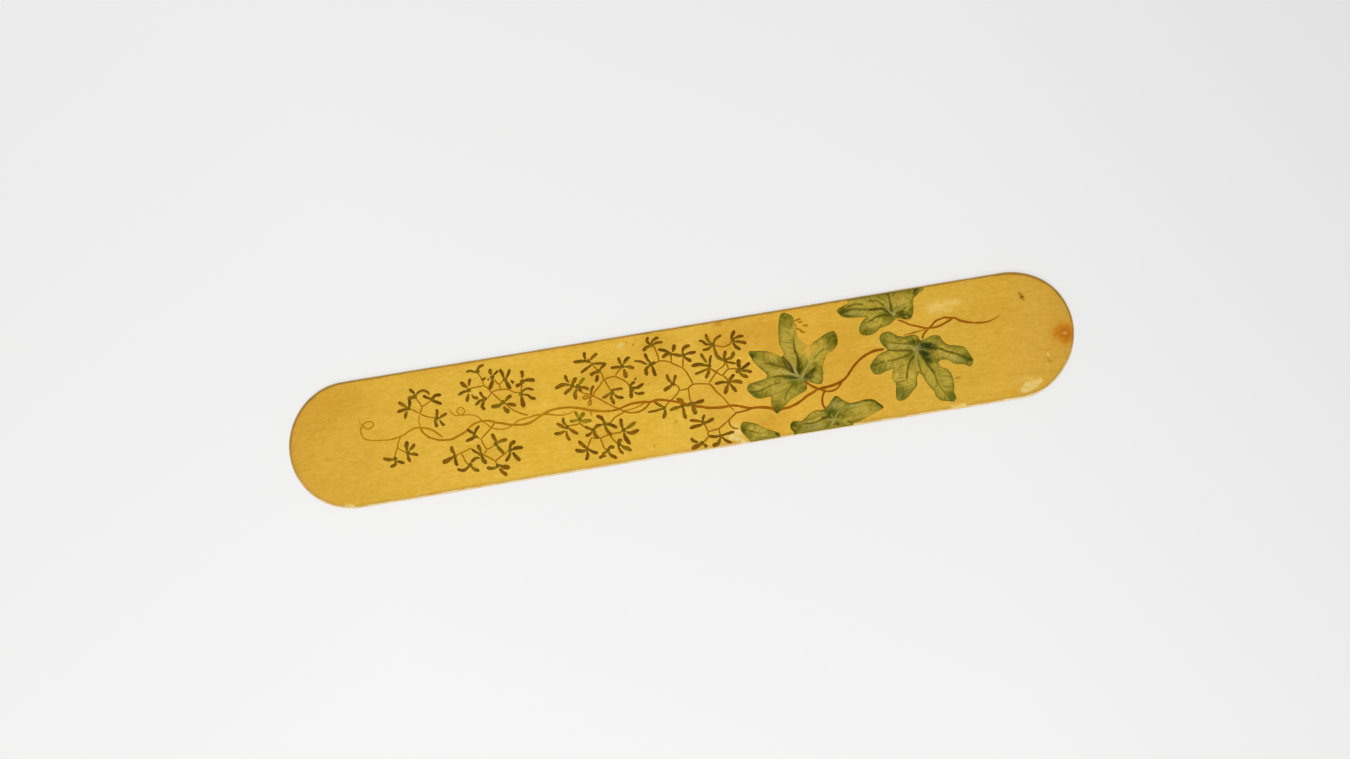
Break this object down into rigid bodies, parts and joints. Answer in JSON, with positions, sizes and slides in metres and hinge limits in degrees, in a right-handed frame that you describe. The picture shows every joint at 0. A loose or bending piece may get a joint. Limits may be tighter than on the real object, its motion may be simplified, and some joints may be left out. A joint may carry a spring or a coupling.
{
  "type": "bone folder",
  "caption": "Flat slat folder with two half-round ends for creasing and smoothing paper, varnished wood with a painted vine on its top face",
  "frame": {"origin": "centre of the plain back face that the slat rests on", "axes": "+X along the slat, towards the end with the star-shaped leaf, +Y across it, +Z out of the painted face"},
  "size_m": [0.22, 0.035, 0.0022],
  "materials": {
    "varnished_wood": "clear satin varnish over pale golden wood with fine streaky grain",
    "stem_paint": "brush-painted line, red-brown to golden brown, under varnish",
    "tendril_paint": "brush-painted thin line, golden brown, under varnish",
    "runner_paint": "brush-painted line, red-brown, under varnish",
    "spray_far_left_paint": "brush-dabbed leaflets, dark olive brown, under varnish",
    "spray_low_left_paint": "brush-dabbed leaflets, dark olive brown, under varnish",
    "spray_upper_left_paint": "brush-dabbed leaflets, dark olive brown, under varnish",
    "spray_lower_left_paint": "brush-dabbed leaflets, dark olive brown, under varnish",
    "spray_upper_middle_paint": "brush-dabbed leaflets, dark olive brown, under varnish",
    "spray_lower_middle_paint": "brush-dabbed leaflets, dark olive brown, under varnish",
    "spray_heart_paint": "brush-dabbed leaflets, dark olive brown, under varnish",
    "spray_upper_heart_paint": "brush-dabbed leaflets, dark olive brown, under varnish",
    "spray_right_paint": "brush-dabbed leaflets, dark olive brown, under varnish",
    "spray_low_right_paint": "brush-dabbed leaflets, dark olive brown, under varnish",
    "leaf_middle_paint": "brush-painted leaf, deep green with lighter olive, under varnish",
    "leaf_star_paint": "brush-painted leaf, green with olive and dark green tips, under varnish",
    "leaf_top_paint": "brush-painted leaf, olive green, under varnish",
    "leaf_bottom_paint": "brush-painted leaf, green with light veins, under varnish",
    "leaf_small_paint": "brush-painted leaf, light olive, under varnish"
  },
  "bodies": {
    "root": {"wood_blade": "varnished_wood", "painted_vine_stem": "stem_paint", "painted_tendril": "tendril_paint", "painted_runner": "runner_paint", "painted_spray_far_left": "spray_far_left_paint", "painted_spray_low_left": "spray_low_left_paint", "painted_spray_upper_left": "spray_upper_left_paint", "painted_spray_lower_left": "spray_lower_left_paint", "painted_spray_upper_middle": "spray_upper_middle_paint", "painted_spray_lower_middle": "spray_lower_middle_paint", "painted_spray_heart": "spray_heart_paint", "painted_spray_upper_heart": "spray_upper_heart_paint", "painted_spray_right": "spray_right_paint", "painted_spray_low_right": "spray_low_right_paint", "painted_leaf_middle": "leaf_middle_paint", "painted_leaf_star": "leaf_star_paint", "painted_leaf_top": "leaf_top_paint", "painted_leaf_bottom": "leaf_bottom_paint", "painted_leaf_small": "leaf_small_paint"}
  },
  "joints": []
}
